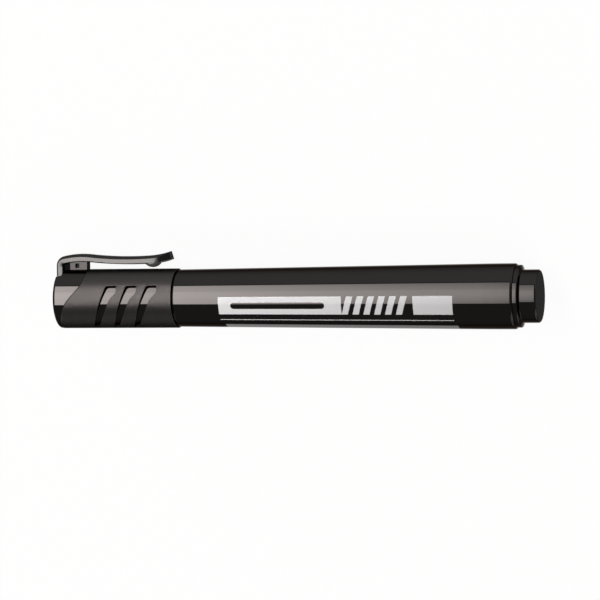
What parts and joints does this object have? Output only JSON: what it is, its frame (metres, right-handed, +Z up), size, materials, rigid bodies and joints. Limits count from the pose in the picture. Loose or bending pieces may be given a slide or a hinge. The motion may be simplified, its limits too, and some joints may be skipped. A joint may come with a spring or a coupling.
{
  "type": "permanent marker",
  "caption": "Capped permanent marker with a tapered barrel, soft-sleeved pull-off cap, sprung steel pocket clip, bullet nib and fibre ink reservoir.",
  "frame": {"origin": "bottom centre of the bounding box, on the table that the marker lies on", "axes": "+X along the marker's axis from tail to cap end, +Z up from the table; the clip points down and towards -Y, with its tip resting on the table"},
  "size_m": [0.1387, 0.0198, 0.018],
  "materials": {
    "gloss_black": "polished injection moulding",
    "soft_sleeve": "soft-touch matte overmould",
    "clip_steel": "black-plated spring steel, polished",
    "milky_liner": "natural polyethylene",
    "nib_fibre": "pressed fibre soaked with black ink",
    "reservoir_fibre": "bonded fibre soaked with black ink",
    "clear_film": "thin clear film"
  },
  "bodies": {
    "barrel": {"barrel": "gloss_black", "tail_plug": "gloss_black", "nib_holder": "gloss_black", "nib": "nib_fibre", "ink_reservoir": "reservoir_fibre", "reservoir_film": "clear_film"},
    "cap": {"cap_shell": "gloss_black", "cap_sleeve": "soft_sleeve", "inner_cap": "milky_liner"},
    "clip": {"pocket_clip": "clip_steel"}
  },
  "joints": [
    {"name": "cap_pull", "type": "slide", "parent": "barrel", "child": "cap", "axis": [1, 0, 0], "range_m": [0, 0.04]},
    {"name": "clip_flex", "type": "hinge", "parent": "cap", "child": "clip", "pos_m": [0.06615, -0.0032, 0.00582], "axis": [0, -0.6162, 0.7876], "range_deg": [0, 3.5], "stiffness_Nm_per_rad": 5}
  ]
}
